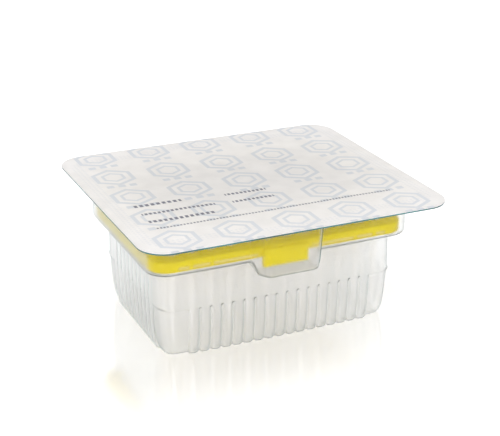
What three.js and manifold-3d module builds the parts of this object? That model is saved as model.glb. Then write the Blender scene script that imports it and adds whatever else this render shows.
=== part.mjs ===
// Box of pipette tips: a sealed refill blister that holds one tip plate with 96 filter tips.
//
// A clear formed tray carries the tip plate on a ledge, the tips hang in the plate by their
// collars, and a paper lid is sealed on the tray's flange. Millimetres, +Z up. The origin is on
// the floor plane under the middle of the tray, with the long side along X and the front at -Y.
import * as THREE from "three";
import { mergeVertices } from "three/addons/utils/BufferGeometryUtils.js";
import Module from "manifold-3d";

const wasm = await Module();
wasm.setup();

// ---------------------------------------------------------------- driving dimensions

// Tip grid
const tipPitch = 9;
const tipColumns = 12;
const tipRows = 8;

// Tip: a collar that sits on the plate, and a tapered shank that hangs through it
const collarHeight = 10.5;
const collarRadius = 3.5;
const collarWall = 0.75;
const shankLength = 40.2;
const shankRadius = 2.65;
const pointRadius = 0.5;
const pointBore = 0.25;
const tipSides = 8;
const innerTipSides = 6; // of the tips that the outer ones hide

// Tip plate
const plateMarginX = 11.2; // from the outer tips' axes to the plate's ends
const plateMarginY = 10.1; // from the outer tips' axes to the plate's long edges
const plateCorner = 8.5;
const plateHeight = 4.9;
const plateWall = 1.2;
const skirtBevel = 0.5; // round the skirt's lower edge
const holeClearance = 0.3; // round each shank
const slotHeight = 1.6;
const slotRail = 0.6; // below the slots
const slotPost = 1.5;
const tabWidth = 21.4;
const tabDrop = 5.2; // below the skirt
const tabThickness = 1.1;

// Formed sheet
const sheet = 0.6;
const lidThickness = 0.3;
const flangeReachX = 9; // beyond the pocket's walls, at the ends
const flangeReachY = 20.3; // beyond the pocket's walls, at the front and back
const flangeCorner = 12;
const pocketClearance = 1.3; // round the plate
const pocketCorner = 9;
const headroom = 3.9; // from the tips' collars to the lid
const footroom = 7.2; // from the tips' points to the tray's floor
const seatGap = 0.5; // square to the ledge, from the plate's skirt

// Lower body of the tray
const bodyMarginX = 7.2; // from the outer tips' axes to the body's ends
const bodyMarginY = 6.97; // from the outer tips' axes to the body's long sides
const bodyCorner = 9.8;
const ribSpacing = 5.2; // wanted; each side takes the nearest spacing that fits
const ribGap = 0.6; // width left between two ribs at the groove's floor
const grooveDepth = 2.5;
const shoulderHeight = 23.7;
const shoulderBead = 0.2;
const shoulderBlend = 0.8; // height of the bead's upper side
const roofGap = 0.5; // from the grooves' tops up to the shoulder
const roofHeight = 1.8; // of the sloped roof of a groove
const noseFlare = 0.6; // that the grooves cut deeper at the noses
const noseHeight = 2.2;
const noseInset = 3.6;
const footHeight = 7.5; // up to which the crests lean in more
const footLean = 0.65;
const noseLean = 1.7;
const ledgeFillet = 6; // under the pocket's wall
const bodyFillet = 5.1; // where the ledge turns down into the body

// Latch bulges in the long sides, one over each tab of the plate
const bulgeReach = 8.1; // beyond the pocket's wall
const bulgeFrontHalf = 14.6;
const bulgeRootHalf = 17.9;
const bulgeCorner = 3.4;
const bulgeDraft = 0.11; // mm per mm of height
const bulgeFloorGap = 0.9; // from the tab's end to the sheet under it
const bulgeRounding = 2.4; // of the lower edges

// ---------------------------------------------------------------- derived places

const lastColumn = ((tipColumns - 1) * tipPitch) / 2;
const lastRow = ((tipRows - 1) * tipPitch) / 2;
const pointLevel = sheet + footroom;
const deckLevel = pointLevel + shankLength;
const collarLevel = deckLevel + collarHeight;
const skirtLevel = deckLevel - plateHeight;
const flangeLevel = collarLevel + headroom;

const plateHalfX = lastColumn + plateMarginX;
const plateHalfY = lastRow + plateMarginY;
const pocketHalfX = plateHalfX + pocketClearance + sheet;
const pocketHalfY = plateHalfY + pocketClearance + sheet;
const bodyHalfX = lastColumn + bodyMarginX;
const bodyHalfY = lastRow + bodyMarginY;
const flangeHalfX = pocketHalfX + flangeReachX;
const flangeHalfY = pocketHalfY + flangeReachY;

// ---------------------------------------------------------------- solids

// A manifold-3d solid from a closed geometry.
function solidOf(geometry) {
  const bare = new THREE.BufferGeometry();
  bare.setAttribute("position", geometry.getAttribute("position"));
  if (geometry.index) bare.setIndex(geometry.index);
  const merged = mergeVertices(bare, 1e-4);
  return new wasm.Manifold(
    new wasm.Mesh({
      numProp: 3,
      vertProperties: merged.attributes.position.array,
      triVerts: new Uint32Array(merged.index.array),
    }),
  );
}

// The geometry of a manifold-3d solid.
function geometryOf(solid) {
  const mesh = solid.getMesh();
  const geometry = new THREE.BufferGeometry();
  geometry.setAttribute("position", new THREE.BufferAttribute(mesh.vertProperties, 3));
  geometry.setIndex(new THREE.BufferAttribute(mesh.triVerts, 1));
  const faceted = geometry.toNonIndexed();
  faceted.computeVertexNormals();
  return faceted;
}

// A solid through a stack of outlines that have equally many points. Each outline is
// { z, points }, its points run anticlockwise seen from above, and the stack runs upwards.
function loft(sections) {
  const count = sections[0].points.length;
  const positions = [];
  for (const { z, points } of sections) {
    for (const p of points) positions.push(p.x, p.y, z);
  }
  const index = [];
  for (let level = 0; level < sections.length - 1; level++) {
    for (let i = 0; i < count; i++) {
      const a = level * count + i;
      const b = level * count + ((i + 1) % count);
      index.push(a, b, b + count, a, b + count, a + count);
    }
  }
  const top = (sections.length - 1) * count;
  for (const [a, b, c] of THREE.ShapeUtils.triangulateShape(sections[0].points, [])) {
    index.push(a, c, b);
  }
  for (const [a, b, c] of THREE.ShapeUtils.triangulateShape(sections.at(-1).points, [])) {
    index.push(top + a, top + b, top + c);
  }
  const geometry = new THREE.BufferGeometry();
  geometry.setAttribute("position", new THREE.Float32BufferAttribute(positions, 3));
  geometry.setIndex(index);
  return solidOf(geometry);
}

// Points of an arc about (x, y), from one angle to another in degrees.
function arc(x, y, radius, from, to, steps) {
  const points = [];
  for (let i = 0; i <= steps; i++) {
    const angle = THREE.MathUtils.degToRad(from + ((to - from) * i) / steps);
    points.push(new THREE.Vector2(x + radius * Math.cos(angle), y + radius * Math.sin(angle)));
  }
  return points;
}

// ---------------------------------------------------------------- outlines

const cornerSteps = 4;
const quarter = Math.PI / 2;

// Turns of a rib's half-round section, in degrees: outside, and on the narrower inside.
const outerRibTurns = [-90, -45, 0, 45, 90];
const innerRibTurns = [-90, -40, 40, 90];

// Where the ribs of one straight run put its outline: how far along, and how far in. The run
// starts and ends at the middle of a rib, the half that blends into the round corner pillar.
function ribWave(run, depth, trim) {
  const turns = trim > 0 ? innerRibTurns : outerRibTurns;
  const count = Math.round((2 * run) / ribSpacing);
  const spacing = (2 * run) / count;
  const half = (spacing - ribGap) / 2 - trim;
  const wave = [];
  for (let rib = 0; rib <= count; rib++) {
    for (const degrees of turns) {
      const offSide = (rib === 0 && degrees <= 0) || (rib === count && degrees >= 0);
      if (offSide) continue;
      const angle = THREE.MathUtils.degToRad(degrees);
      const along = -run + rib * spacing + half * Math.sin(angle);
      wave.push({ along, inset: depth * (1 - Math.cos(angle)) });
    }
  }
  return wave;
}

// A rectangle with round corners, and ribs along its sides where a wave is given.
function outline(halfX, halfY, radius, wave = () => []) {
  const points = [];
  for (let side = 0; side < 4; side++) {
    const [along, out] = side % 2 === 0 ? [halfX, halfY] : [halfY, halfX];
    const run = along - radius;
    const local = wave(run).map((w) => new THREE.Vector2(w.along, w.inset - out));
    local.push(...arc(run, radius - out, radius, -90, 0, cornerSteps));
    for (const p of local) points.push(p.rotateAround(new THREE.Vector2(), side * quarter));
  }
  return points;
}

// ---------------------------------------------------------------- tray

// The tray's wall as reach along X against height, from its foot up to its mouth. Grooves are
// cut between the ribs to the depth that a point gives.
const slope = Math.SQRT1_2;
// The ledge leans at 45 degrees under the skirt's bevel. This is its reach less its height.
const ledgeOffset = plateHalfX - skirtBevel - skirtLevel + (seatGap + sheet) / slope;

function ledgePoints() {
  const upperX = pocketHalfX - ledgeFillet * (1 - slope);
  const upper = arc(
    pocketHalfX - ledgeFillet,
    upperX - ledgeOffset + ledgeFillet * slope,
    ledgeFillet,
    -45,
    0,
    2,
  );
  const lowerX = bodyHalfX + bodyFillet * (1 - slope);
  const lower = arc(
    bodyHalfX + bodyFillet,
    lowerX - ledgeOffset - bodyFillet * slope,
    bodyFillet,
    180,
    135,
    2,
  );
  return [...lower, ...upper].map((p) => ({ x: p.x, z: p.y }));
}

const mouthFillet = 1.2;
const grooveTop = shoulderHeight - roofGap;
const grooveShoulder = grooveTop - roofHeight;

const ribbedWall = [
  { x: bodyHalfX - noseInset, z: 0, depth: grooveDepth + noseFlare },
  { x: bodyHalfX - noseLean, z: noseHeight, depth: grooveDepth + noseFlare },
  { x: bodyHalfX - footLean, z: footHeight, depth: grooveDepth },
  { x: bodyHalfX, z: grooveShoulder, depth: grooveDepth },
  { x: bodyHalfX, z: grooveTop, depth: 0 },
];

const plainWall = [
  { x: bodyHalfX, z: grooveTop },
  { x: bodyHalfX + shoulderBead, z: shoulderHeight },
  { x: bodyHalfX, z: shoulderHeight + shoulderBlend },
  ...ledgePoints(),
  ...arc(pocketHalfX + mouthFillet, flangeLevel - sheet - mouthFillet, mouthFillet, 180, 90, 2).map(
    (p) => ({ x: p.x, z: p.y }),
  ),
];

// The same wall moved in by the sheet's thickness.
function inside(wall, before, after) {
  return wall.map((point, i) => {
    const from = i > 0 ? wall[i - 1] : before;
    const to = i < wall.length - 1 ? wall[i + 1] : after;
    const n1 = normal(from, point);
    const n2 = normal(point, to);
    const scale = sheet / (1 + n1.dot(n2));
    return { ...point, x: point.x - scale * (n1.x + n2.x), z: point.z - scale * (n1.y + n2.y) };
  });
}

// Outward normal of the wall between two of its points, as (x, z).
function normal(a, b) {
  return new THREE.Vector2(b.z - a.z, a.x - b.x).normalize();
}

// The tray's outline at a reach along X. Between the body and the pocket the corners and the
// long sides blend from one to the other.
function trayOutline(reach, wave) {
  if (reach <= bodyHalfX + shoulderBead) {
    const out = reach - bodyHalfX;
    return outline(reach, bodyHalfY + out, bodyCorner + out, wave);
  }
  if (reach >= pocketHalfX) {
    const out = reach - pocketHalfX;
    return outline(reach, pocketHalfY + out, pocketCorner + out);
  }
  const share = (reach - bodyHalfX) / (pocketHalfX - bodyHalfX);
  const halfY = THREE.MathUtils.lerp(bodyHalfY, pocketHalfY, share);
  return outline(reach, halfY, THREE.MathUtils.lerp(bodyCorner, pocketCorner, share));
}

function formedSolid(ribbed, plain, trim) {
  const lower = ribbed.map(({ x, z, depth }) => ({
    z,
    points: trayOutline(x, (run) => ribWave(run, depth, trim)),
  }));
  const upper = plain.map(({ x, z }) => ({ z, points: trayOutline(x) }));
  return loft(lower).add(loft(upper));
}

// A latch bulge: a drafted block with round corners, reaching from inside the body outwards.
function bulge(side, inset, top) {
  const floor = skirtLevel - tabDrop - bulgeFloorGap - sheet + inset;
  const levels = [
    { z: floor, back: bulgeRounding },
    ...[30, 60, 90].map((degrees) => {
      const angle = THREE.MathUtils.degToRad(degrees);
      return {
        z: floor + bulgeRounding * (1 - Math.cos(angle)),
        back: bulgeRounding * (1 - Math.sin(angle)),
      };
    }),
    { z: top, back: 0 },
  ];
  const sections = levels.map(({ z, back }) => {
    const draft = bulgeDraft * (flangeLevel - z);
    const reach = pocketHalfY + bulgeReach - draft - inset - back;
    const front = bulgeFrontHalf - draft - inset - back;
    const root = bulgeRootHalf - draft - inset - back;
    const flank = new THREE.Vector2(front - root, bulgeReach).normalize();
    const turn = THREE.MathUtils.radToDeg(Math.atan2(flank.x, flank.y));
    const corner = arc(front - bulgeCorner, reach - bulgeCorner, bulgeCorner, -turn, 90, 4);
    const half = [
      new THREE.Vector2(root, bodyHalfY - grooveDepth),
      new THREE.Vector2(root, pocketHalfY - sheet),
      ...corner,
    ];
    const other = half.map((p) => new THREE.Vector2(-p.x, p.y)).reverse();
    const points = [...half, ...other];
    return { z, points: points.map((p) => p.rotateAround(new THREE.Vector2(), side * quarter)) };
  });
  return loft(sections);
}

function makeTray() {
  const wall = [...ribbedWall, ...plainWall.slice(1)];
  const mouth = plainWall.at(-1);
  const floorMiddle = { x: 0, z: 0 };
  const flangeEdge = { x: mouth.x + sheet, z: mouth.z };
  const inner = inside(wall, floorMiddle, flangeEdge);
  const innerRibbed = inner.slice(0, ribbedWall.length);
  const innerPlain = inner.slice(ribbedWall.length - 1);
  const above = { ...innerPlain.at(-1), z: flangeLevel + sheet };

  const flange = loft(
    [flangeLevel - sheet, flangeLevel].map((z) => ({
      z,
      points: outline(flangeHalfX, flangeHalfY, flangeCorner),
    })),
  );
  let outside = formedSolid(ribbedWall, plainWall, 0).add(flange);
  let hollow = formedSolid(innerRibbed, [...innerPlain, above], sheet);
  for (const side of [0, 2]) {
    outside = outside.add(bulge(side, 0, flangeLevel - sheet));
    hollow = hollow.add(bulge(side, sheet, flangeLevel + sheet));
  }
  return outside.subtract(hollow);
}

// ---------------------------------------------------------------- lid

function makeLid() {
  return loft(
    [flangeLevel, flangeLevel + lidThickness].map((z) => ({
      z,
      points: outline(flangeHalfX, flangeHalfY, flangeCorner),
    })),
  );
}

// ---------------------------------------------------------------- tips

// A turned solid about Z whose flats face along X and Y.
function turned(profile, sides) {
  const points = profile.map(([radius, z]) => new THREE.Vector2(radius, z));
  return new THREE.LatheGeometry(points, sides, Math.PI / sides).rotateX(quarter);
}

// A whole tip with its bore, its point at the bottom and its collar on the plate.
function tipGeometry() {
  const rim = collarRadius - collarWall;
  return turned(
    [
      [pointBore, pointLevel],
      [pointRadius, pointLevel],
      [shankRadius, deckLevel],
      [collarRadius, deckLevel],
      [collarRadius, collarLevel],
      [rim, collarLevel],
      [pointBore, pointLevel],
    ],
    tipSides,
  );
}

// A tip's outer form without the bore.
function plainTip() {
  return solidOf(
    turned(
      [
        [0, pointLevel],
        [shankRadius, deckLevel],
        [collarRadius, deckLevel],
        [collarRadius, collarLevel],
        [0, collarLevel],
      ],
      innerTipSides,
    ),
  );
}

const tipPlaces = [];
for (let row = 0; row < tipRows; row++) {
  for (let column = 0; column < tipColumns; column++) {
    const edge = row === 0 || row === tipRows - 1 || column === 0 || column === tipColumns - 1;
    tipPlaces.push({
      name: `tip_${"ABCDEFGH"[row] ?? row}${column + 1}`,
      x: column * tipPitch - lastColumn,
      y: lastRow - row * tipPitch,
      edge,
    });
  }
}

// ---------------------------------------------------------------- plate

function plateOutline(inset, z) {
  return { z, points: outline(plateHalfX - inset, plateHalfY - inset, plateCorner - inset) };
}

function box(x0, x1, y0, y1, z0, z1) {
  const geometry = new THREE.BoxGeometry(x1 - x0, y1 - y0, z1 - z0);
  return solidOf(geometry.translate((x0 + x1) / 2, (y0 + y1) / 2, (z0 + z1) / 2));
}

// Spans of the slots along one half of a long side, from the tab to the corner.
function slotSpans() {
  const start = tabWidth / 2 + slotPost;
  const end = plateHalfX - plateCorner - slotPost;
  const shares = [0, 0.58, 0.83, 1];
  return shares.slice(1).map((share, i) => [
    THREE.MathUtils.lerp(start, end, shares[i]) + slotPost / 2,
    THREE.MathUtils.lerp(start, end, share) - slotPost / 2,
  ]);
}

function makePlate() {
  let plate = loft([
    plateOutline(skirtBevel, skirtLevel),
    plateOutline(0, skirtLevel + skirtBevel),
    plateOutline(0, deckLevel),
  ]);
  const under = [skirtLevel - plateWall, deckLevel - plateWall];
  plate = plate.subtract(loft(under.map((z) => plateOutline(plateWall, z))));

  const slotBottom = skirtLevel + slotRail;
  for (const [from, to] of slotSpans()) {
    for (const [x0, x1] of [[from, to], [-to, -from]]) {
      const reach = plateHalfY + plateWall;
      plate = plate.subtract(box(x0, x1, -reach, reach, slotBottom, slotBottom + slotHeight));
    }
  }
  const tabBottom = skirtLevel - tabDrop;
  for (const side of [-1, 1]) {
    const faces = [side * (plateHalfY - plateWall), side * (plateHalfY + tabThickness)];
    const [y0, y1] = faces.sort((a, b) => a - b);
    plate = plate.add(box(-tabWidth / 2, tabWidth / 2, y0, y1, tabBottom, deckLevel - plateWall));
  }

  const hole = solidOf(
    turned(
      [
        [0, deckLevel - 2 * plateWall],
        [shankRadius + holeClearance, deckLevel - 2 * plateWall],
        [shankRadius + holeClearance, deckLevel + plateWall],
        [0, deckLevel + plateWall],
      ],
      tipSides,
    ),
  );
  const tip = plainTip();
  for (const { x, y, edge } of tipPlaces) {
    plate = edge
      ? plate.subtract(hole.translate([x, y, 0]))
      : plate.add(tip.translate([x, y, 0]));
  }
  return plate;
}

// ---------------------------------------------------------------- assembly

const clearSheet = { color: 0xdfe7e2, roughness: 0.12, metalness: 0, transparent: true, opacity: 0.35 };
const paper = { color: 0xf3f1ef, roughness: 0.85, metalness: 0 };
const yellowPlastic = { color: 0xe4cc24, roughness: 0.35, metalness: 0 };
const frostedPlastic = { color: 0xe9ecea, roughness: 0.3, metalness: 0, transparent: true, opacity: 0.6 };

const group = new THREE.Group();

function addPiece(name, geometry, finish, parent = group) {
  const mesh = new THREE.Mesh(geometry, new THREE.MeshStandardMaterial(finish));
  mesh.name = name;
  parent.add(mesh);
  return mesh;
}

addPiece("blister_tray", geometryOf(makeTray()), clearSheet);
addPiece("peel_lid", geometryOf(makeLid()), paper);
addPiece("tip_plate", geometryOf(makePlate()), yellowPlastic);

const outerTips = new THREE.Group();
for (const { name, x, y, edge } of tipPlaces) {
  if (!edge) continue;
  addPiece(name, tipGeometry(), frostedPlastic, outerTips).position.set(x, y, 0);
}
group.add(outerTips);

export default group;
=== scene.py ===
# Box of pipette tips: a sealed refill blister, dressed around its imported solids.
#
# The formed tray, the paper lid, the tip plate, the tips and their filters are modelled here and
# stand for the plain solids. Metres; places come from the frame, sizes in millimetres through mm().
import math

import bmesh
import bpy
from mathutils import Matrix, Vector


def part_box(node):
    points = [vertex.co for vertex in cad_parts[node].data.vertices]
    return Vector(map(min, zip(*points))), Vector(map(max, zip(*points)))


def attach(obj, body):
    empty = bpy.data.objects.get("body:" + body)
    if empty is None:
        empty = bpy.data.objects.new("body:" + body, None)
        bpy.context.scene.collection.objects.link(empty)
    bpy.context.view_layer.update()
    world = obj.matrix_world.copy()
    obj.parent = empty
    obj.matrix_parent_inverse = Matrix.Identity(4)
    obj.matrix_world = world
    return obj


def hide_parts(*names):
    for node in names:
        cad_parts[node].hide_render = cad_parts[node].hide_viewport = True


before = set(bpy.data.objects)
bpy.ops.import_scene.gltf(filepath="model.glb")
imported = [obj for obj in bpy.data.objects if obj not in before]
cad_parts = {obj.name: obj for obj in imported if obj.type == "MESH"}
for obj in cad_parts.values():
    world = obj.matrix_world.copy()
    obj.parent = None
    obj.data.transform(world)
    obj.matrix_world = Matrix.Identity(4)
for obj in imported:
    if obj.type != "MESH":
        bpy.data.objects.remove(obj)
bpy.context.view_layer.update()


def mm(value):
    """Millimetres as metres."""
    return value / 1000.0


# ------------------------------------------------------------------ sizes from the frame

FLANGE_X, FLANGE_Y, FLANGE_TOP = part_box("blister_tray")[1]
LID_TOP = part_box("peel_lid")[1].z
plate_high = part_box("tip_plate")[1]
PLATE_X = plate_high.x

corner_low, corner_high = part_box("tip_A1")
last_low, last_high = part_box("tip_H12")
TIP_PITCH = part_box("tip_A2")[0].x - corner_low.x
FIRST_TIP = (corner_low + corner_high) / 2
LAST_TIP = (last_low + last_high) / 2
COLUMNS = round((LAST_TIP.x - FIRST_TIP.x) / TIP_PITCH) + 1
ROWS = round((FIRST_TIP.y - LAST_TIP.y) / TIP_PITCH) + 1
POINT_Z, COLLAR_TOP = corner_low.z, corner_high.z

# ------------------------------------------------------------------ sizes of the formed tray

SHEET = mm(0.6)
FLANGE_CORNER = mm(12)
POCKET_X = PLATE_X + mm(1.3) + SHEET
POCKET_Y = mm(43.5)
POCKET_CORNER = mm(9)
BODY_X = LAST_TIP.x + mm(7.2)
BODY_Y = -LAST_TIP.y + mm(6.97)
BODY_CORNER = mm(9.8)
RIB_GAP = mm(0.3)  # between the feet of two ribs
FLANK_POWER = 2.3  # how sharply a rib's flank drops into the groove
LONG_PITCHES = 18
SHORT_PITCHES = 11
SHOULDER = mm(23.7)
PLATE_TOP = COLLAR_TOP - mm(10.5)
SKIRT_FOOT = PLATE_TOP - mm(4.9)
TAB_FOOT = SKIRT_FOOT - mm(4.7)
BULGE_FLOOR = TAB_FOOT - mm(2.4)


# ------------------------------------------------------------------ small tools

def deselect():
    """Clears the selection, as every new shape starts from."""
    for o in bpy.context.selected_objects:
        o.select_set(False)


def activate(obj):
    """Makes one object the selected and active one."""
    deselect()
    obj.select_set(True)
    bpy.context.view_layer.objects.active = obj
    return obj


def apply_modifier(obj, kind, **settings):
    """Adds one modifier and applies it."""
    activate(obj)
    modifier = obj.modifiers.new(kind.title(), kind)
    for key, value in settings.items():
        setattr(modifier, key, value)
    bpy.ops.object.modifier_apply(modifier=modifier.name)
    return obj


def settle(obj, name):
    """Names a finished piece and puts its object at the origin, with its place in its mesh."""
    activate(obj)
    bpy.ops.object.transform_apply(location=True, rotation=True, scale=True)
    obj.name = obj.data.name = name
    return obj


def smooth(obj, degrees=40):
    """Smooth shading, split at edges sharper than the angle."""
    activate(obj)
    bpy.ops.object.shade_smooth_by_angle(angle=math.radians(degrees))
    return obj


def copy_to(obj, name, offset):
    """A copy with a mesh of its own, moved by offset."""
    twin = obj.copy()
    twin.data = obj.data.copy()
    twin.name = twin.data.name = name
    twin.data.transform(Matrix.Translation(offset))
    bpy.context.scene.collection.objects.link(twin)
    return twin


def join(pieces, name):
    """Joins objects into the first of them."""
    deselect()
    for piece in pieces:
        piece.select_set(True)
    bpy.context.view_layer.objects.active = pieces[0]
    bpy.ops.object.join()
    pieces[0].name = pieces[0].data.name = name
    return pieces[0]


def edit(obj, mode="EDGE"):
    """Opens an object in edit mode with nothing selected, and gives its mesh."""
    activate(obj)
    bpy.ops.object.mode_set(mode="EDIT")
    bpy.ops.mesh.select_mode(type=mode)
    bpy.ops.mesh.select_all(action="DESELECT")
    return bmesh.from_edit_mesh(obj.data)


def leave_edit():
    bpy.ops.object.mode_set(mode="OBJECT")


def ring_up(name, around, rows, place, closed=False):
    """A wall raised from a circle by extruding its rim row by row.

    place(column, row) gives each vertex its point. The first and last rings are filled, or where
    closed is set they are merged with each other."""
    deselect()
    bpy.ops.mesh.primitive_circle_add(vertices=around, radius=1)
    obj = bpy.context.object
    mesh = edit(obj)
    column_of = mesh.verts.layers.int.new("column")
    for vertex in mesh.verts:
        vertex[column_of] = vertex.index
        vertex.co = place(vertex.index, 0)
        vertex.select = True
    mesh.select_flush(True)
    bmesh.update_edit_mesh(obj.data)
    if not closed:
        bpy.ops.mesh.edge_face_add()
        select_edges_only(obj)
    for row in range(1, rows):
        bpy.ops.mesh.extrude_edges_move()
        mesh = bmesh.from_edit_mesh(obj.data)
        column_of = mesh.verts.layers.int["column"]
        for vertex in mesh.verts:
            if vertex.select:
                vertex.co = place(vertex[column_of], row)
        bmesh.update_edit_mesh(obj.data)
    if closed:
        bpy.ops.mesh.select_all(action="SELECT")
        bpy.ops.mesh.remove_doubles(threshold=mm(0.001))
    bpy.ops.mesh.select_all(action="SELECT")
    bpy.ops.mesh.normals_make_consistent(inside=False)
    leave_edit()
    obj.name = obj.data.name = name
    return obj


def select_edges_only(obj):
    """Leaves only the rim's edges selected, without the face that fills it."""
    mesh = bmesh.from_edit_mesh(obj.data)
    for face in mesh.faces:
        face.select = False
    for e in mesh.edges:
        e.select = True
    bmesh.update_edit_mesh(obj.data)


# ------------------------------------------------------------------ the tray's outline

CORNER_STEPS = 12
RIB_STEPS = 10


def straight_stations(pitches):
    """(rib, turn across it, spacing as a share of the half run) along one straight side."""
    stations = []
    spacing = 2.0 / pitches
    for rib in range(pitches + 1):
        for step in range(RIB_STEPS + 1):
            turn = math.pi * (step / RIB_STEPS - 0.5)
            if (rib == 0 and turn < 1e-6) or (rib == pitches and turn > -1e-6):
                continue
            stations.append((rib, turn, spacing))
    return stations


def ring_stations():
    """All stations round the tray: (side, "run", rib, turn, spacing) or (side, "arc", share)."""
    ring = []
    for side in range(4):
        pitches = LONG_PITCHES if side % 2 == 0 else SHORT_PITCHES
        ring += [(side, "run") + s for s in straight_stations(pitches)]
        ring += [(side, "arc", step / CORNER_STEPS) for step in range(CORNER_STEPS + 1)]
    return ring


RING = ring_stations()


def along_share(station, run, width=1.0):
    """Where a station of a straight run stands, as a share of the half run."""
    _, _, rib, turn, spacing = station
    half_rib = (spacing - RIB_GAP / run) / 2
    return -1 + rib * spacing + width * half_rib * math.sin(turn)


def side_point(side, along, out):
    """A point on one side of the ring: 0 front, 1 right, 2 back, 3 left."""
    x, y = along, -out
    for _ in range(side):
        x, y = -y, x
    return x, y


def ring_point(station, half_x, half_y, corner, power=2.0, recess=(0.0, 0.0), ribs=None, bow=0.0):
    """The plan point of a station on a rectangle with round corners.

    A higher power squares the corners up. recess sets the corner panels back at the front and
    back, and at the ends. ribs is (groove depth, share of the full rib width)."""
    side = station[0]
    along, out = (half_x, half_y) if side % 2 == 0 else (half_y, half_x)
    own, other = recess if side % 2 == 0 else recess[::-1]
    run = along - corner
    if station[1] == "arc":
        turn = math.radians(90) * station[2]
        x = run + (corner - other) * math.sin(turn) ** (2 / power)
        return side_point(side, x, out - corner + (corner - own) * math.cos(turn) ** (2 / power))
    _, _, rib, turn, spacing = station
    pitches = round(2 / spacing)
    depth, width = ribs or (0.0, 1.0)
    if rib in (0, pitches):
        cut = own
    elif (rib == 1 and turn < 0) or (rib == pitches - 1 and turn > 0):
        cut = own * (1 - math.cos(turn)) ** FLANK_POWER
    else:
        cut = depth * (1 - math.cos(turn)) ** FLANK_POWER
    share = along_share(station, body_run(side), width)
    swell = bow * (1 - share * share) if side % 2 == 0 else 0.0
    return side_point(side, run * share, out - cut + swell)


def body_run(side):
    """Half the straight run of a side of the body."""
    return (BODY_X if side % 2 == 0 else BODY_Y) - BODY_CORNER


# ------------------------------------------------------------------ the tray's wall

def arc_points(x, z, radius, start, end, steps):
    """Points along an arc about (x, z), between two angles in degrees."""
    points = []
    for step in range(steps + 1):
        turn = math.radians(start + (end - start) * step / steps)
        points.append((x + radius * math.cos(turn), z + radius * math.sin(turn)))
    return points


# Up the ribbed wall: height, how far the rib crests lean in, the grooves' depth, the ribs' width
# as a share, and how far the corner panels are set back at the front and at the ends.
RIBBED_WALL = [
    (0.00, 4.00, 1.00, 0.45, 1.90, 1.50), (0.12, 3.10, 1.50, 0.62, 2.00, 1.50),
    (0.45, 2.35, 1.90, 0.76, 2.20, 1.50), (0.95, 1.80, 2.10, 0.87, 2.20, 1.45),
    (1.60, 1.45, 2.15, 0.95, 2.05, 1.30), (2.50, 1.25, 2.15, 1.00, 1.80, 1.10),
    (4.50, 0.95, 2.00, 1.00, 1.50, 0.80), (8.00, 0.58, 1.90, 1.00, 1.40, 0.60),
    (12.0, 0.33, 1.80, 1.00, 1.35, 0.50), (16.0, 0.12, 1.70, 1.00, 1.15, 0.50),
    (20.4, 0.00, 1.70, 1.00, 0.72, 0.48), (20.9, 0.00, 1.68, 1.00, 0.66, 0.46),
    (21.3, 0.00, 1.64, 1.00, 0.60, 0.44), (21.7, 0.00, 1.50, 1.00, 0.52, 0.40),
    (22.1, 0.00, 1.15, 1.00, 0.42, 0.34), (22.5, 0.00, 0.65, 1.00, 0.28, 0.24),
    (22.9, 0.00, 0.20, 1.00, 0.12, 0.10), (23.2, 0.00, 0.00, 1.00, 0.00, 0.00)]
FLOOR_RINGS = [(mm(16), mm(4)), (mm(8), mm(3))]  # in from the body, and their corners
LOWER_POWER, UPPER_POWER = 2.9, 2.45  # how square the body's corners are, below and above
BOW = mm(0.8)  # how far the long sides swell out at their middle

# Above the ribs: height, the bead where each corner turns to the end, and the depth of the flutes
# that the ends' ribs run on in.
SHOULDER_WALL = [
    (SHOULDER - mm(0.28), mm(0.14), mm(0.3)), (SHOULDER, mm(0.22), mm(0.6)),
    (SHOULDER + mm(0.3), mm(0.14), mm(0.85)), (SHOULDER + mm(0.7), mm(0.02), mm(1.0)),
    (SHOULDER + mm(1.5), 0.0, mm(1.05)), (mm(29), 0.0, mm(1.0)), (mm(33), 0.0, mm(0.9)),
    (mm(34.2), 0.0, mm(0.6))]

SLOPE = math.sqrt(0.5)  # the ledge slopes by 45 degrees
LEDGE_FILLET = mm(6)
BODY_FILLET = mm(5.1)
LEDGE_OFFSET = PLATE_X - mm(0.5) - SKIRT_FOOT + (mm(0.5) + SHEET) / SLOPE
MOUTH_FILLET = mm(1.2)
RISE_SHARES = (0.25, 0.5, 0.75)  # rings up the pocket's plain wall


def ledge_wall():
    """The ledge at the ends: out of the body, up the slope and round into the pocket's wall."""
    top_x = POCKET_X - LEDGE_FILLET * (1 - SLOPE)
    low_x = BODY_X + BODY_FILLET * (1 - SLOPE)
    lower = arc_points(BODY_X + BODY_FILLET, low_x - LEDGE_OFFSET - BODY_FILLET * SLOPE,
                       BODY_FILLET, 180, 135, 5)
    upper = arc_points(POCKET_X - LEDGE_FILLET, top_x - LEDGE_OFFSET + LEDGE_FILLET * SLOPE,
                       LEDGE_FILLET, -45, 0, 7)
    return lower + upper


def pocket_wall():
    """From the ledge up the pocket's wall and out round its mouth."""
    mouth = arc_points(POCKET_X + MOUTH_FILLET, FLANGE_TOP - SHEET - MOUTH_FILLET, MOUTH_FILLET, 180, 90, 5)
    start = ledge_wall()[-1][1]
    rise = mouth[0][1] - start
    return [(POCKET_X, start + rise * share) for share in RISE_SHARES] + mouth


BULGE_REACH = mm(8.1)
BULGE_ROUND = mm(2.0)
BULGE_DRAFT = 0.05
BULGE_TAPER = 5.0  # share of the width lost per metre down
BULGE_SHARE = 0.46  # of each half side, whose stations go to the bulge


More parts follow.
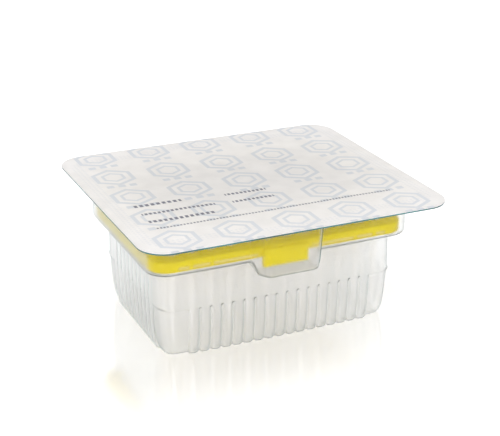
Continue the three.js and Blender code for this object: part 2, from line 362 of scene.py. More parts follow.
def bulge_wall(ledge_count, pocket_count):
    """The wall at the middle of a bulge, as (out, height), with as many points as the ledge's."""
    def front(z):
        return POCKET_Y + BULGE_REACH - BULGE_DRAFT * (FLANGE_TOP - z)
    small = mm(1.0)
    foot = arc_points(BODY_Y + small, BULGE_FLOOR - small, small, 180, 90, 3)
    edge = arc_points(front(BULGE_FLOOR + BULGE_ROUND) - BULGE_ROUND, BULGE_FLOOR + BULGE_ROUND,
                      BULGE_ROUND, -90, 0, 6)
    spare = ledge_count - len(foot) - len(edge)
    floor = [(foot[-1][0] + (edge[0][0] - foot[-1][0]) * (i + 1) / (spare + 1), BULGE_FLOOR)
             for i in range(spare)]
    top = FLANGE_TOP - SHEET - MOUTH_FILLET
    mouth = [(x - (POCKET_X + MOUTH_FILLET) + front(top) + MOUTH_FILLET, z)
             for x, z in arc_points(POCKET_X + MOUTH_FILLET, top, MOUTH_FILLET, 180, 90, 5)]
    start = edge[-1][1]
    rise = [(front(start + (top - start) * s), start + (top - start) * s) for s in RISE_SHARES]
    return foot + floor + edge + rise[:pocket_count - len(mouth)] + mouth


LEDGE = ledge_wall()
FLAT_SLOPE = 0.35  # the ledge is pressed flatter under the plate's skirt
LEDGE_SEAT = SKIRT_FOOT - mm(1.4)
POCKET = pocket_wall()
BULGE = bulge_wall(len(LEDGE), len(POCKET))
FLANGE_SHARES = [0.12, 0.4, 0.75, 0.97, 1.0]  # rings from the mouth out to the flange's edge


def plan_sizes(reach):
    """Half sizes and corner of the tray's outline where its ends reach that far."""
    if reach <= BODY_X + mm(0.25):
        out = reach - BODY_X
        return reach, BODY_Y + out, BODY_CORNER + out
    if reach >= POCKET_X:
        out = reach - POCKET_X
        return reach, POCKET_Y + out, POCKET_CORNER + out
    share = (reach - BODY_X) / (POCKET_X - BODY_X)
    return (reach, BODY_Y + (POCKET_Y - BODY_Y) * share,
            BODY_CORNER + (POCKET_CORNER - BODY_CORNER) * share)


def bulge_plan():
    """Half of a bulge's plan, from its middle out: (along, share of the reach), evenly spaced."""
    depth = BULGE_REACH
    front, root, corner, fillet = mm(15.2), mm(17.8), mm(3.6), mm(1.6)
    flank = math.atan2(root - front, depth)
    points = [(0.0, depth)]
    points += [(front - corner + corner * math.sin(t), depth - corner + corner * math.cos(t))
               for t in (math.radians(a) for a in range(0, int(90 - math.degrees(flank)) + 1, 6))]
    points += [(root + fillet - fillet * math.cos(t), fillet - fillet * math.sin(t))
               for t in (flank + (math.pi / 2 - flank) * i / 10 for i in range(11))]
    points.append((mm(24), 0.0))
    lengths = [0.0]
    for a, b in zip(points, points[1:]):
        lengths.append(lengths[-1] + math.hypot(b[0] - a[0], b[1] - a[1]))
    return points, lengths


BULGE_PLAN, BULGE_LENGTHS = bulge_plan()


def on_bulge(share):
    """The bulge's plan at a share of its length from the middle: (along, share of its reach)."""
    at = min(abs(share), 1.0) * BULGE_LENGTHS[-1]
    for (a, b), (la, lb) in zip(zip(BULGE_PLAN, BULGE_PLAN[1:]), zip(BULGE_LENGTHS, BULGE_LENGTHS[1:])):
        if at <= lb:
            t = (at - la) / (lb - la)
            x, d = a[0] + (b[0] - a[0]) * t, a[1] + (b[1] - a[1]) * t
            return math.copysign(x, share), max(0.0, d) / BULGE_REACH
    return math.copysign(BULGE_PLAN[-1][0], share), 0.0


def end_share(station):
    """0 along the front and back, 1 where a corner has turned to the end, which carries none on."""
    if station[1] != "arc":
        return 0.0
    share = station[2] if station[0] % 2 == 0 else 1 - station[2]
    return max(0.0, math.sin(math.pi * min(1.0, max(0.0, share - 0.25) / 0.75)))


def tray_point(column, row):
    """The outer face of the formed sheet, from the middle of the floor to the flange's edge."""
    station = RING[column]
    if row < len(FLOOR_RINGS):
        inner, corner = FLOOR_RINGS[row]
        return Vector((*ring_point(station, BODY_X - inner, BODY_Y - inner, corner), 0))
    row -= len(FLOOR_RINGS)
    if row < len(RIBBED_WALL):
        z, lean, groove, width, front, end = (mm(v) for v in RIBBED_WALL[row])
        return Vector((*ring_point(station, BODY_X - lean, BODY_Y - lean, BODY_CORNER - lean,
                                   LOWER_POWER, (front, end), (groove, width * 1000), BOW), z))
    row -= len(RIBBED_WALL)
    if row < len(SHOULDER_WALL):
        z, bead, flute = SHOULDER_WALL[row]
        power = LOWER_POWER + (UPPER_POWER - LOWER_POWER) * row / (len(SHOULDER_WALL) - 1)
        out = bead * end_share(station)
        ribs = (flute if station[0] % 2 else 0.0, 1.0)
        return Vector((*ring_point(station, BODY_X + out, BODY_Y + out, BODY_CORNER + out, power,
                                   ribs=ribs, bow=BOW), z))
    row -= len(SHOULDER_WALL)
    wall = LEDGE + POCKET
    if row < len(wall):
        return upper_point(station, wall[row], BULGE[row])
    edge = FLANGE_SHARES[row - len(wall)]
    mouth = upper_point(station, wall[-1], BULGE[-1])
    x, y = ring_point(station, FLANGE_X, FLANGE_Y, FLANGE_CORNER)
    return mouth.lerp(Vector((x, y, mouth.z)), edge)


def upper_point(station, wall, bulge):
    """A point above the body: on the ledge and pocket, or pulled out onto a latch bulge."""
    reach, z = wall
    if reach <= POCKET_X - mm(0.01) or z <= LEDGE[-1][1] + mm(0.01):
        z += (LEDGE_SEAT - z) * (1 - FLAT_SLOPE)
    half_x, half_y, corner = plan_sizes(reach)
    open_share = min(1.0, (reach - BODY_X) / (POCKET_X - BODY_X))
    side = station[0]
    if station[1] == "arc" or side % 2:
        x, y = ring_point(station, half_x, half_y, corner, UPPER_POWER + (2 - UPPER_POWER) * open_share)
        return Vector((x, y, z))
    # Above the ribs the stations of a long side stand evenly along it.
    _, _, rib, turn, spacing = station
    even = -1 + spacing * (rib + turn / math.pi * RIB_STEPS / (RIB_STEPS + 1))
    share = even / BULGE_SHARE
    run = half_x - corner
    half_y += BOW * (1 - open_share) * (1 - even * even)
    if abs(share) >= 1:
        return Vector((*side_point(side, run * even, half_y), z))
    along, out = on_bulge(share)
    drop = min(1.0, out / 0.25)
    drop = drop * drop * (3 - 2 * drop)
    height = z + (bulge[1] - z) * drop
    taper = 1 - BULGE_TAPER * (FLANGE_TOP - height)
    above = min(1.0, max(0.0, (bulge[1] - BULGE_FLOOR) / BULGE_ROUND))
    rounding = (1 - math.sqrt(1 - (1 - above) ** 2)) * drop * mm(1.8) / mm(15)
    if out > 0:
        along *= taper * (1 - rounding)
    else:
        # The stations beyond the flank close up evenly towards the plain wall.
        start, end = BULGE_PLAN[-2][0], run * BULGE_SHARE
        t = (abs(along) - start) / (BULGE_PLAN[-1][0] - start)
        along = math.copysign(start * taper + (end - start * taper) * t, share)
    depth = half_y + (bulge[0] - half_y) * out
    px, py = side_point(side, along, depth)
    return Vector((px, py, height))


GROOVE_TURN = math.radians(65)  # past this turn a rib's flank counts as groove
GROOVE_LOW, GROOVE_HIGH = mm(0.9), mm(34.5)
INNER_FOOT = mm(0.35)


def in_groove(station):
    """Whether a station stands in a groove between two ribs of an end."""
    return station[0] % 2 == 1 and station[1] == "run" and abs(station[3]) > GROOVE_TURN


def make_tray(finishes):
    """The formed sheet, with finishes for its faces, its cut edge and the grooves of its ends, where a darker
    copy of the sheet's finish is painted shade that draws their dark lines.
    """
    rows = sum(map(len, (FLOOR_RINGS, RIBBED_WALL, SHOULDER_WALL, LEDGE, POCKET, FLANGE_SHARES)))
    tray = ring_up("formed_tray", len(RING), rows, tray_point)
    # The modelled face is the outer one: its normals look down at the floor, and the sheet's
    # thickness goes inwards from it.
    edit(tray)
    bpy.ops.mesh.select_all(action="SELECT")
    bpy.ops.mesh.flip_normals()
    leave_edit()
    for finish in finishes:
        tray.data.materials.append(finish)
    column = tray.data.attributes["column"].data
    # Faces in the grooves of the ends get the darker copy of the sheet: painted shade for the grooves' dark
    # lines.
    for face in tray.data.polygons:
        in_shaded_groove = all(in_groove(RING[column[v].value]) for v in face.vertices)
        if in_shaded_groove and GROOVE_LOW < face.center.z < GROOVE_HIGH:
            face.material_index = 2
    outer = len(tray.data.vertices)
    apply_modifier(tray, "SOLIDIFY", thickness=SHEET, offset=-1, use_even_offset=False,
                   use_rim=True, material_offset_rim=1)
    for vertex in tray.data.vertices[outer:]:
        # In the creases at the foot the inner face is kept above the floor.
        vertex.co.z = max(vertex.co.z, INNER_FOOT)
    return settle(smooth(tray, 50), "formed_tray")


# ------------------------------------------------------------------ the lid

def make_lid():
    """A sheet with waves in it, trimmed to the flange's outline."""
    deselect()
    bpy.ops.mesh.primitive_grid_add(x_subdivisions=96, y_subdivisions=86, size=1)
    lid = bpy.context.object
    bottom = FLANGE_TOP + mm(0.02)
    for vertex in lid.data.vertices:
        x = vertex.co.x * 2 * (FLANGE_X + mm(1))
        y = vertex.co.y * 2 * (FLANGE_Y + mm(1))
        vertex.co = (x, y, bottom + lid_wave(x, y))
    apply_modifier(lid, "SOLIDIFY", thickness=LID_TOP - bottom, offset=1)
    trimmer = rounded_block("trimmer", FLANGE_X, FLANGE_Y, FLANGE_CORNER, bottom - mm(3),
                            LID_TOP + mm(3), 12)
    cut(lid, trimmer, "INTERSECT")
    smooth(lid, 30)
    return settle(lid, "paper_lid")


def lid_wave(x, y):
    """How far the sheet sags between its seals, with the slight waves of paper under tension."""
    free = min(max(0.0, 1 - abs(x) / mm(62)), max(0.0, 1 - abs(y) / mm(43)))
    hold = min(1.0, free * 4) ** 2 * (3 - 2 * min(1.0, free * 4))
    wave = (math.sin(x * 95 + y * 40) + math.sin(y * 120 - x * 55 + 1.3)
            + 0.7 * math.sin(x * 210 + y * 160 + 0.4))
    return hold * mm(-0.35 + 0.09 * wave)


def rounded_block(name, half_x, half_y, corner, low, high, steps):
    """A block with round upright corners."""
    deselect()
    bpy.ops.mesh.primitive_cube_add(size=1, location=(0, 0, (low + high) / 2),
                                    scale=(2 * half_x, 2 * half_y, high - low))
    block = settle(bpy.context.object, name)
    mesh = edit(block)
    for e in mesh.edges:
        run = e.verts[1].co - e.verts[0].co
        e.select = abs(run.z) > mm(0.1)
    mesh.select_flush(False)
    bmesh.update_edit_mesh(block.data)
    bpy.ops.mesh.bevel(offset=corner, segments=steps, affect="EDGES", offset_type="OFFSET")
    leave_edit()
    return block


def cut(obj, tool, operation="DIFFERENCE"):
    """Cuts an object with a tool, or joins or trims it, and removes the tool."""
    apply_modifier(obj, "BOOLEAN", operation=operation, object=tool, solver="EXACT")
    bpy.data.objects.remove(tool)
    return obj


# ------------------------------------------------------------------ the tip plate

TAB_HALF = mm(10.7)
TAB_THICK = mm(1.1)
PLATE_Y = plate_high.y - TAB_THICK
PLATE_WALL = mm(1.2)
PLATE_CORNER = mm(8.5)
SHANK = mm(2.65)
SLOT_LOW, SLOT_HIGH = SKIRT_FOOT + mm(0.6), SKIRT_FOOT + mm(2.2)
SLOT_DEPTH = mm(0.35)
SLOT_PAST = mm(2)  # how far a slot's cutter stands out of the skirt


def tip_places():
    """The tips' places, row by row from A1."""
    return [(FIRST_TIP.x + c * TIP_PITCH, FIRST_TIP.y - r * TIP_PITCH)
            for r in range(ROWS) for c in range(COLUMNS)]


def slot_spans():
    """Where the skirt's slots start and end along x, between posts of one width."""
    post = mm(1.5)
    start, end = TAB_HALF + post, PLATE_X - PLATE_CORNER - post
    shares = [0, 0.58, 0.83, 1]
    return [(start + (end - start) * a + post / 2, start + (end - start) * b - post / 2)
            for a, b in zip(shares, shares[1:])]


def block(x0, x1, y0, y1, z0, z1):
    """A plain block between two corners."""
    deselect()
    bpy.ops.mesh.primitive_cube_add(size=1, location=((x0 + x1) / 2, (y0 + y1) / 2, (z0 + z1) / 2),
                                    scale=(x1 - x0, y1 - y0, z1 - z0))
    return settle(bpy.context.object, "block")


def make_plate(yellow, web):
    """The tip plate: an open box with slots sunk in its skirt, two tabs and a hole a tip."""
    plate = rounded_block("tip_tray", PLATE_X, PLATE_Y, PLATE_CORNER, SKIRT_FOOT, PLATE_TOP, 10)
    mesh = edit(plate, "FACE")
    for face in mesh.faces:
        face.select = face.normal.z < -0.9
    bmesh.update_edit_mesh(plate.data)
    bpy.ops.mesh.delete(type="FACE")
    leave_edit()
    apply_modifier(plate, "SOLIDIFY", thickness=PLATE_WALL, offset=-1, use_even_offset=True)
    apply_modifier(plate, "BEVEL", width=mm(0.35), segments=2, limit_method="ANGLE",
                   angle_limit=math.radians(60))
    slots = []
    for low, high in slot_spans():
        for x0, x1 in ((low, high), (-high, -low)):
            slots.append(block(x0, x1, -PLATE_Y - SLOT_PAST, -PLATE_Y + SLOT_DEPTH, SLOT_LOW, SLOT_HIGH))
            slots.append(block(x0, x1, PLATE_Y - SLOT_DEPTH, PLATE_Y + SLOT_PAST, SLOT_LOW, SLOT_HIGH))
    cut(plate, join(slots, "slots"))
    plate.data.materials.append(yellow)
    plate.data.materials.append(web)
    for face in plate.data.polygons:
        sunk = abs(abs(face.center.y) - PLATE_Y + SLOT_DEPTH) < mm(0.05)
        if sunk and abs(face.normal.y) > 0.9 and face.center.z < SLOT_HIGH + mm(0.1):
            face.material_index = 1
    for side in (-1, 1):
        y0, y1 = sorted((side * (PLATE_Y - PLATE_WALL), side * (PLATE_Y + TAB_THICK)))
        tab = block(-TAB_HALF, TAB_HALF, y0, y1, TAB_FOOT, PLATE_TOP - PLATE_WALL)
        apply_modifier(tab, "BEVEL", width=mm(0.3), segments=2)
        cut(plate, tab, "UNION")
    holes = []
    for x, y in tip_places():
        deselect()
        bpy.ops.mesh.primitive_cylinder_add(vertices=20, radius=SHANK + mm(0.3), depth=mm(6),
                                            location=(x, y, PLATE_TOP))
        holes.append(settle(bpy.context.object, "hole"))
    cut(plate, join(holes, "holes"))
    smooth(plate, 35)
    return settle(plate, "yellow_plate")


# ------------------------------------------------------------------ the tips

TIP_SIDES = 20
# Up the outside, over the collar and down the bore: radius and height over the point, in mm.
TIP_WALL = [
    (0.3, 0.0), (0.5, 0.05), (0.56, 0.9), (0.9, 9.0), (1.55, 21.0), (2.2, 32.0), (2.62, 40.1),
    (2.66, 40.22), (3.3, 40.22), (3.46, 40.5), (3.4, 48.6), (3.5, 49.0), (3.5, 50.5), (3.36, 50.68),
    (2.95, 50.68), (2.78, 50.4), (2.62, 43.0), (2.2, 36.0), (1.7, 26.0), (1.0, 13.0), (0.42, 2.0),
    (0.3, 0.0)]


def make_tip(name, x, y):
    """A tip turned from its wall's outline, which closes on itself."""
    def place(column, row):
        radius, z = TIP_WALL[row]
        turn = 2 * math.pi * column / TIP_SIDES
        return Vector((x + mm(radius) * math.cos(turn), y + mm(radius) * math.sin(turn), POINT_Z + mm(z)))
    tip = ring_up(name, TIP_SIDES, len(TIP_WALL), place, closed=True)
    return settle(smooth(tip, 40), name)


def make_filter(x, y):
    """The plug pressed into a tip's collar."""
    deselect()
    low, high = POINT_Z + mm(36.5), POINT_Z + mm(43.5)
    bpy.ops.mesh.primitive_cone_add(vertices=16, radius1=mm(2.15), radius2=mm(2.5), depth=high - low,
                                    location=(x, y, (low + high) / 2))
    plug = bpy.context.object
    apply_modifier(plug, "BEVEL", width=mm(0.2), segments=1)
    return settle(smooth(plug, 40), "filter")


# ------------------------------------------------------------------ finishes

def hex_colour(text):
    """An sRGB hex colour as linear RGBA."""
    parts = [int(text[i:i + 2], 16) / 255 for i in (1, 3, 5)]
    return tuple(p / 12.92 if p <= 0.04045 else ((p + 0.055) / 1.055) ** 2.4 for p in parts) + (1.0,)


def node(tree, kind, links=None, **settings):
    """Adds a node: settings set its properties or unlinked sockets, links feed its sockets."""
    made = tree.nodes.new(kind)
    for key, value in settings.items():
        if hasattr(made, key):
            setattr(made, key, value)
        else:
            made.inputs[key.replace("_", " ")].default_value = value
    for key, source in (links or {}).items():
        tree.links.new(source, made.inputs[key])
    return made


def maths(tree, operation, *values):
    """A math node: a number sets a socket, anything else is linked to it."""
    made = tree.nodes.new("ShaderNodeMath")
    made.operation = operation
    for socket, value in zip(made.inputs, values):
        if isinstance(value, (int, float)):
            socket.default_value = value
        else:
            tree.links.new(value, socket)
    return made.outputs[0]


def vector_maths(tree, operation, source, *vectors):
    """The same for vectors, of which only the first is linked."""
    made = node(tree, "ShaderNodeVectorMath", {0: source}, operation=operation)
    for socket, value in zip(list(made.inputs)[1:], vectors):
        socket.default_value = value
    return made.outputs["Vector"]


def ramp(tree, source, stops):
    """Colours along a value: stops are (position, hex colour)."""
    made = node(tree, "ShaderNodeValToRGB", {"Fac": source})
    elements = made.color_ramp.elements
    for element, (at, colour) in zip(elements, (stops[0], stops[-1])):
        element.position, element.color = at, hex_colour(colour)
    for at, colour in stops[1:-1]:
        elements.new(at).color = hex_colour(colour)
    return made.outputs["Color"]


def mix(tree, share, first, second):
    """Two shaders mixed by a number or by a linked value."""
    links = {1: first.outputs[0], 2: second.outputs[0]}
    if isinstance(share, float):
        return node(tree, "ShaderNodeMixShader", links, Fac=share)
    return node(tree, "ShaderNodeMixShader", {0: share, **links})


def object_place(tree):
    """Where a point lies on the object, in metres."""
    return node(tree, "ShaderNodeTexCoord").outputs["Object"]


def new_material(name):
    """An empty material and its node tree."""
    material = bpy.data.materials.new(name)
    material.use_nodes = True
    material.node_tree.nodes.clear()
    return material, material.node_tree


def formed_pet(name, tints):
    """Thermoformed clear PET: it bends and softens what stands behind it, mirrors at its edges,
    and turns blue-green where it is seen edge on. It lets light into the box, so shadow and
    diffuse rays pass straight through. tints run from face on to edge on."""
    material, tree = new_material(name)
    facing = node(tree, "ShaderNodeLayerWeight", Blend=0.5)
    sheet = node(tree, "ShaderNodeBsdfGlass", {"Color": ramp(tree, facing.outputs["Facing"], tints)},
                 Roughness=0.28, IOR=1.25, distribution="MULTI_GGX")
    clear = node(tree, "ShaderNodeBsdfTransparent", Color=(1, 1, 1, 1))
    ray = node(tree, "ShaderNodeLightPath")
    soft = maths(tree, "MAXIMUM", ray.outputs["Is Shadow Ray"], ray.outputs["Is Diffuse Ray"])
    skin = mix(tree, soft, sheet, clear)
    node(tree, "ShaderNodeOutputMaterial", {"Surface": skin.outputs[0]})
    return material


def cut_pet_edge():
    """The die-cut edge of the same sheet: light piped along it leaves it a dark blue-green."""
    material, tree = new_material("cut_pet_edge")
    uneven = node(tree, "ShaderNodeTexNoise", {"Vector": object_place(tree)}, Scale=1000 / 30, Detail=3.0)
    tint = ramp(tree, uneven.outputs["Fac"], [(0.35, "#1F4A4F"), (0.65, "#437A7E")])
    shader = node(tree, "ShaderNodeBsdfPrincipled", {"Base Color": tint}, Roughness=0.25, IOR=1.57)
    node(tree, "ShaderNodeOutputMaterial", {"Surface": shader.outputs[0]})
    return material


def inside(tree, distance, edge, blur=0.15):
    """1 where a distance is under the edge, 0 past it, with an edge as soft as printing ink's."""
    return node(tree, "ShaderNodeMapRange", {"Value": distance}, From_Min=mm(edge - blur),
                From_Max=mm(edge + blur), To_Min=1.0, To_Max=0.0).outputs[0]


def print_hexagons(tree, place, pitch):
    """A background print: hexagon rings, each over three squares, in a straight grid."""
    half = mm(pitch / 2)
    cell = vector_maths(tree, "WRAP", place, (half, half, 1), (-half, -half, -1))
    apart = node(tree, "ShaderNodeSeparateXYZ", {0: cell})
    x = maths(tree, "ABSOLUTE", apart.outputs["X"])
    y = maths(tree, "ABSOLUTE", maths(tree, "SUBTRACT", apart.outputs["Y"], mm(2.4)))
    slant = maths(tree, "ADD", maths(tree, "MULTIPLY", x, 0.5), maths(tree, "MULTIPLY", y, 0.866))
    reach = maths(tree, "MAXIMUM", x, slant)
    outer = maths(tree, "ABSOLUTE", maths(tree, "SUBTRACT", reach, mm(8.4)))
    inner = maths(tree, "ABSOLUTE", maths(tree, "SUBTRACT", reach, mm(4.6)))
    ring = maths(tree, "MAXIMUM", inside(tree, outer, 0.95), inside(tree, inner, 0.7))
    step = maths(tree, "WRAP", apart.outputs["X"], mm(2.7), mm(-2.7))
    low = maths(tree, "ABSOLUTE", maths(tree, "ADD", apart.outputs["Y"], mm(9.6)))
    square = maths(tree, "MULTIPLY", inside(tree, maths(tree, "ABSOLUTE", step), 1.7),
                   maths(tree, "MULTIPLY", inside(tree, low, 1.5), inside(tree, x, 7.6)))
    return maths(tree, "MAXIMUM", ring, square)


def print_bars(tree, place, bars):
    """Plain dashed bars where a packer prints its data: (from x, to x, y, height, dash), in mm."""
    apart = node(tree, "ShaderNodeSeparateXYZ", {0: place})
    ink = None
    for x0, x1, y, height, dash in bars:
        along = maths(tree, "ABSOLUTE", maths(tree, "SUBTRACT", apart.outputs["X"], mm((x0 + x1) / 2)))
        across = maths(tree, "ABSOLUTE", maths(tree, "SUBTRACT", apart.outputs["Y"], mm(y)))
        gap = maths(tree, "WRAP", apart.outputs["X"], mm(dash / 2), mm(-dash / 2))
        bar = maths(tree, "MULTIPLY", inside(tree, along, (x1 - x0) / 2),
                    maths(tree, "MULTIPLY", inside(tree, across, height / 2),
                          inside(tree, maths(tree, "ABSOLUTE", gap), dash * 0.3)))
        ink = bar if ink is None else maths(tree, "MAXIMUM", ink, bar)
    return ink


def seal_dots(tree, place):
    """The dots a heated sealing plate leaves: a narrow band round the lid, stepped out round the
    latch bulges."""
    apart = node(tree, "ShaderNodeSeparateXYZ", {0: vector_maths(tree, "ABSOLUTE", place)})
    step = node(tree, "ShaderNodeMapRange", {"Value": apart.outputs["X"]}, From_Min=mm(16), From_Max=mm(20),
                To_Min=mm(4.2), To_Max=0.0)
    corner = mm(9)
    x = maths(tree, "SUBTRACT", apart.outputs["X"], mm(68) - corner)
    y = maths(tree, "SUBTRACT", maths(tree, "SUBTRACT", apart.outputs["Y"], step.outputs[0]), mm(56) - corner)
    past = maths(tree, "SQRT", maths(tree, "ADD", maths(tree, "POWER", maths(tree, "MAXIMUM", x, 0.0), 2.0),
                                     maths(tree, "POWER", maths(tree, "MAXIMUM", y, 0.0), 2.0)))
    depth = maths(tree, "ADD", past, maths(tree, "MINIMUM", maths(tree, "MAXIMUM", x, y), 0.0))
    band = inside(tree, maths(tree, "ABSOLUTE", maths(tree, "SUBTRACT", depth, corner - mm(2.3))), 2.4, 0.3)
    pitch = mm(1.0)
    cell = vector_maths(tree, "WRAP", place, (pitch, pitch, 1), (-pitch, -pitch, -1))
    cell = vector_maths(tree, "MULTIPLY", cell, (1, 1, 0))
    spot = node(tree, "ShaderNodeVectorMath", {0: cell}, operation="LENGTH").outputs["Value"]
    return maths(tree, "MULTIPLY", band, inside(tree, spot, 0.6, 0.25))


def lid_paper():
    """Coated medical paper: matt and near white, with fine fibre relief, a pale printed ground and
    the dots of its heat seal. Thin enough that some of the light falls through it into the box."""
    material, tree = new_material("sealing_paper")
    place = object_place(tree)
    fibre = node(tree, "ShaderNodeTexNoise", {"Vector": place}, Scale=1000 / 1.5, Detail=4.0)
    cloud = node(tree, "ShaderNodeTexNoise", {"Vector": place}, Scale=1000 / 9, Detail=3.0)
    colour = ramp(tree, cloud.outputs["Fac"], [(0.3, "#E2E0DF"), (0.7, "#E9E7E6")])
    ground = print_hexagons(tree, place, 27)
    data = print_bars(tree, place, [
        (-58, -36, -10, 2.6, 2.6), (-16, 4, -12, 2.0, 2.0), (-58, -24, -20, 2.0, 2.0),
        (-16, 4, -21, 2.0, 2.0), (-58, -28, -29, 2.4, 2.4), (-58, 54, -37, 1.3, 1.5)])
    dots = seal_dots(tree, place)
    for cover, share, ink in ((ground, 1.0, "#D2D5DA"), (data, 1.0, "#7E7F8B"), (dots, 0.5, "#D6D8DC")):
        inked = maths(tree, "MULTIPLY", cover, share)
        colour = node(tree, "ShaderNodeMixRGB", {"Fac": inked, "Color1": colour},
                      Color2=hex_colour(ink)).outputs["Color"]
    bump = node(tree, "ShaderNodeBump", {"Height": fibre.outputs["Fac"]}, Strength=0.2, Distance=mm(0.1))
    skin = node(tree, "ShaderNodeBsdfPrincipled",
                {"Base Color": colour, "Normal": bump.outputs["Normal"]}, Roughness=0.6, IOR=1.5)
    through = node(tree, "ShaderNodeBsdfTranslucent", {"Color": colour})
    ray = node(tree, "ShaderNodeLightPath")
    lit = maths(tree, "MULTIPLY", maths(tree, "MAXIMUM", ray.outputs["Is Shadow Ray"],
                                        ray.outputs["Is Diffuse Ray"]), 0.45)
    open_paper = node(tree, "ShaderNodeBsdfTransparent", Color=(1, 1, 1, 1))
    shader = mix(tree, lit, mix(tree, 0.35, skin, through), open_paper)
    node(tree, "ShaderNodeOutputMaterial", {"Surface": shader.outputs[0]})
    return material


def yellow_polypropylene():
    """Injection-moulded yellow polypropylene with a satin skin."""
    material, tree = new_material("yellow_polypropylene")
    place = object_place(tree)
    cloud = node(tree, "ShaderNodeTexNoise", {"Vector": place}, Scale=1000 / 12, Detail=2.0)
    tint = ramp(tree, cloud.outputs["Fac"], [(0.3, "#E0CE00"), (0.7, "#E9D902")])
    grain = node(tree, "ShaderNodeTexNoise", {"Vector": place}, Scale=1000 / 0.4, Detail=2.0)
    bump = node(tree, "ShaderNodeBump", {"Height": grain.outputs["Fac"]}, Strength=0.1, Distance=mm(0.05))
    shader = node(tree, "ShaderNodeBsdfPrincipled",
                  {"Base Color": tint, "Normal": bump.outputs["Normal"]}, Roughness=0.3, IOR=1.3)
    through = node(tree, "ShaderNodeBsdfTranslucent", {"Color": tint})
    node(tree, "ShaderNodeOutputMaterial", {"Surface": mix(tree, 0.25, shader, through).outputs[0]})
    return material


def yellow_web():
    """The same plastic where a recess leaves only a thin web: light comes through and pales it."""
    material, tree = new_material("thin_yellow_polypropylene")
    skin = node(tree, "ShaderNodeBsdfPrincipled", Base_Color=hex_colour("#EFE184"), Roughness=0.4, IOR=1.3)
    through = node(tree, "ShaderNodeBsdfTranslucent", Color=hex_colour("#F6EDA0"))
    node(tree, "ShaderNodeOutputMaterial", {"Surface": mix(tree, 0.35, skin, through).outputs[0]})
    return material


def tip_polypropylene():
    """Natural polypropylene, moulded thin: milky, and soft where tip stands behind tip."""
    material, tree = new_material("natural_polypropylene")
    facing = node(tree, "ShaderNodeLayerWeight", Blend=0.5)
    milk = node(tree, "ShaderNodeBsdfDiffuse", Color=hex_colour("#FDFCFB"))
    through = node(tree, "ShaderNodeBsdfTranslucent", Color=hex_colour("#FDFCFB"))
    clear = node(tree, "ShaderNodeBsdfTransparent", Color=(1, 1, 1, 1))
    soft = mix(tree, 0.5, milk, through)
    cover = node(tree, "ShaderNodeMapRange", {"Value": facing.outputs["Facing"]},
                 From_Min=0.0, From_Max=1.0, To_Min=0.14, To_Max=0.36)
    body = mix(tree, cover.outputs[0], clear, soft)
    gloss = node(tree, "ShaderNodeBsdfGlossy", Color=(1, 1, 1, 1), Roughness=0.2)
    steep = maths(tree, "POWER", facing.outputs["Facing"], 5.0)
    shine = node(tree, "ShaderNodeMapRange", {"Value": steep}, To_Min=0.03, To_Max=0.3)
    skin = mix(tree, shine.outputs[0], body, gloss)
    node(tree, "ShaderNodeOutputMaterial", {"Surface": skin.outputs[0]})
    return material


def filter_polyethylene():
    """Sintered porous polyethylene: white, dead matt, with a fine open grain."""
    material, tree = new_material("porous_polyethylene")
    grain = node(tree, "ShaderNodeTexVoronoi", {"Vector": object_place(tree)}, Scale=1000 / 0.5)
    bump = node(tree, "ShaderNodeBump", {"Height": grain.outputs["Distance"]}, Strength=0.5, Distance=mm(0.1))
    tint = ramp(tree, grain.outputs["Distance"], [(0.0, "#F1F1EF"), (1.0, "#DEDEDC")])
    shader = node(tree, "ShaderNodeBsdfPrincipled",
                  {"Base Color": tint, "Normal": bump.outputs["Normal"]}, Roughness=0.9)
    node(tree, "ShaderNodeOutputMaterial", {"Surface": shader.outputs[0]})
    return material


def shown_rays(tree):
    """1 for rays that show the backdrop itself: direct, mirrored or through clear sheet."""
    ray = node(tree, "ShaderNodeLightPath")
    shown = maths(tree, "MAXIMUM", ray.outputs["Is Camera Ray"], ray.outputs["Is Glossy Ray"])
    return maths(tree, "MAXIMUM", shown, ray.outputs["Is Transmission Ray"])


def studio_floor():
    """Glossy white table: the object mirrors in it close by, and the mirror fades away from it."""
    material, tree = new_material("white_table")
    white = node(tree, "ShaderNodeBsdfDiffuse", Color=hex_colour("#F4F4F4"))
    lift = node(tree, "ShaderNodeEmission", {"Strength": shown_rays(tree)}, Color=(0.26, 0.26, 0.26, 1))
    base = node(tree, "ShaderNodeAddShader", {0: white.outputs[0], 1: lift.outputs[0]})
    away = vector_maths(tree, "ABSOLUTE", object_place(tree))
    away = vector_maths(tree, "SUBTRACT", away, (BODY_X, BODY_Y, 0))
    away = vector_maths(tree, "MAXIMUM", away, (0, 0, 0))
    away = node(tree, "ShaderNodeVectorMath", {0: away}, operation="LENGTH")
    near = node(tree, "ShaderNodeMapRange", {"Value": away.outputs["Value"]}, interpolation_type="SMOOTHSTEP",
                From_Min=mm(8), From_Max=mm(84), To_Min=0.5, To_Max=0.0)
    gloss = node(tree, "ShaderNodeBsdfGlossy", Color=hex_colour("#FBF9F7"), Roughness=0.09)
    node(tree, "ShaderNodeOutputMaterial", {"Surface": mix(tree, near.outputs[0], base, gloss).outputs[0]})
    return material


# ------------------------------------------------------------------ camera

def make_camera():
    """The camera stands in front and to the left, and looks down."""
    azimuth, elevation, roll = math.radians(24.287), math.radians(21.96), math.radians(0.048)
    distance, focal, width = mm(590.28), 1265.94, 500
    right = Vector((math.cos(azimuth), -math.sin(azimuth), 0))
    ahead = Vector((math.sin(azimuth) * math.cos(elevation), math.cos(azimuth) * math.cos(elevation),
                    -math.sin(elevation)))
    up = right.cross(ahead)
    aim = Vector((0, 0, mm(35))) + mm(1.655) * right + mm(8.535) * up
    turned = Matrix.Rotation(roll, 3, ahead)
    right, up = turned @ right, turned @ up
    data = bpy.data.cameras.new("camera")
    data.sensor_width = 36
    data.lens = focal / width * data.sensor_width
    camera = bpy.data.objects.new("camera", data)
    camera.matrix_world = Matrix((right, up, -ahead)).transposed().to_4x4()
    camera.location = aim - distance * ahead
    bpy.context.scene.collection.objects.link(camera)
    bpy.context.scene.camera = camera


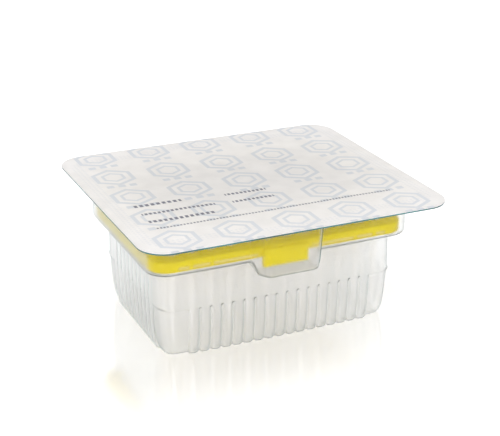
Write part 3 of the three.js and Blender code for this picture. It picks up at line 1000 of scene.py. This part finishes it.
def make_lamp(name, place, aim, size, power, mirrored=True):
    """A square soft box. The floor's gloss shows it only where mirrored is set."""
    data = bpy.data.lights.new(name, "AREA")
    data.size, data.energy = size, power
    lamp = bpy.data.objects.new(name, data)
    lamp.visible_glossy = mirrored
    lamp.location = place
    lamp.rotation_euler = (Vector(aim) - Vector(place)).to_track_quat("-Z", "Y").to_euler()
    bpy.context.scene.collection.objects.link(lamp)


def make_world(strength, room):
    """White all round for what is seen directly or through clear sheet; mirrored, the room in front
    of the table is darker than the white sweep behind and above it."""
    world = bpy.data.worlds.new("studio")
    world.use_nodes = True
    tree = world.node_tree
    tree.nodes.clear()
    ray = node(tree, "ShaderNodeLightPath")
    way = node(tree, "ShaderNodeSeparateXYZ", {0: node(tree, "ShaderNodeTexCoord").outputs["Generated"]})
    mirrored = node(tree, "ShaderNodeMapRange", {"Value": way.outputs["Y"]}, interpolation_type="SMOOTHSTEP",
                    From_Min=-0.5, From_Max=0.4, To_Min=room, To_Max=1.0)
    level = node(tree, "ShaderNodeMapRange", {"Value": shown_rays(tree)}, To_Min=strength, To_Max=1.0)
    level = node(tree, "ShaderNodeMix", {"Factor": ray.outputs["Glossy Depth"], "A": level.outputs[0],
                                         "B": mirrored.outputs[0]})
    light = node(tree, "ShaderNodeBackground", {"Strength": level.outputs[0]}, Color=(1, 1, 1, 1))
    node(tree, "ShaderNodeOutputWorld", {"Surface": light.outputs[0]})
    bpy.context.scene.world = world


# ------------------------------------------------------------------ the scene

# The light is split between the sweep all round, a large key lamp over the front and a low fill.
make_camera()
make_world(0.98, 0.6)
make_lamp("key", (-0.35, -0.6, 0.9), (0, 0, 0.05), 0.8, 4)
make_lamp("fill", (-0.45, -1.0, 0.36), (0, 0, 0.03), 0.7, 2.5, mirrored=False)

pet = formed_pet("formed_pet", [(0.3, "#FFFFFF"), (0.75, "#FEFFFF"), (0.86, "#FBFEFE"),
                                (0.94, "#DDEEF0"), (1.0, "#6AAFB7")])
# A darker copy of the sheet for the grooves of the ends: painted shade that draws their dark lines.
groove_shade_pet = formed_pet("groove_shaded_pet", [(0.2, "#FFFFFF"), (0.8, "#F5FBFB"), (0.93, "#DCEDEF"), (1.0, "#6FA9B0")])
edge, paper = cut_pet_edge(), lid_paper()
yellow, milky, porous = yellow_polypropylene(), tip_polypropylene(), filter_polyethylene()

tray = make_tray((pet, edge, groove_shade_pet))
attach(tray, "root")
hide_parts("blister_tray")

lid = make_lid()
lid.data.materials.append(paper)
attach(lid, "root")
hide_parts("peel_lid")

plate = make_plate(yellow, yellow_web())
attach(plate, "root")
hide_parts("tip_plate")

first = make_tip("first_tip", 0, 0)
first.data.materials.append(milky)
plug = make_filter(0, 0)
plug.data.materials.append(porous)
inner, plugs = [], []
for index, (x, y) in enumerate(tip_places()):
    row, column = divmod(index, COLUMNS)
    name = "tip_" + "ABCDEFGH"[row] + str(column + 1)
    tip = copy_to(first, "fine_" + name, Vector((x, y, 0)))
    plugs.append(copy_to(plug, "filter_" + name, Vector((x, y, 0))))
    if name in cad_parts:
        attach(tip, "root")
        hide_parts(name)
    else:
        inner.append(tip)
bpy.data.objects.remove(first)
bpy.data.objects.remove(plug)
for pieces, name in ((inner, "inner_tips"), (plugs, "tip_filters")):
    joined = join(pieces, name)
    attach(joined, "root")

# The table lies a hair under the tray, so that the two never share a plane.
deselect()
bpy.ops.mesh.primitive_plane_add(size=12, location=(0, 0, -mm(0.05)))
floor = settle(bpy.context.object, "floor")
floor.data.materials.append(studio_floor())

scene = bpy.context.scene
scene.view_settings.view_transform = "Standard"
scene.cycles.max_bounces = 24
scene.cycles.transparent_max_bounces = 64
scene.cycles.transmission_bounces = 16
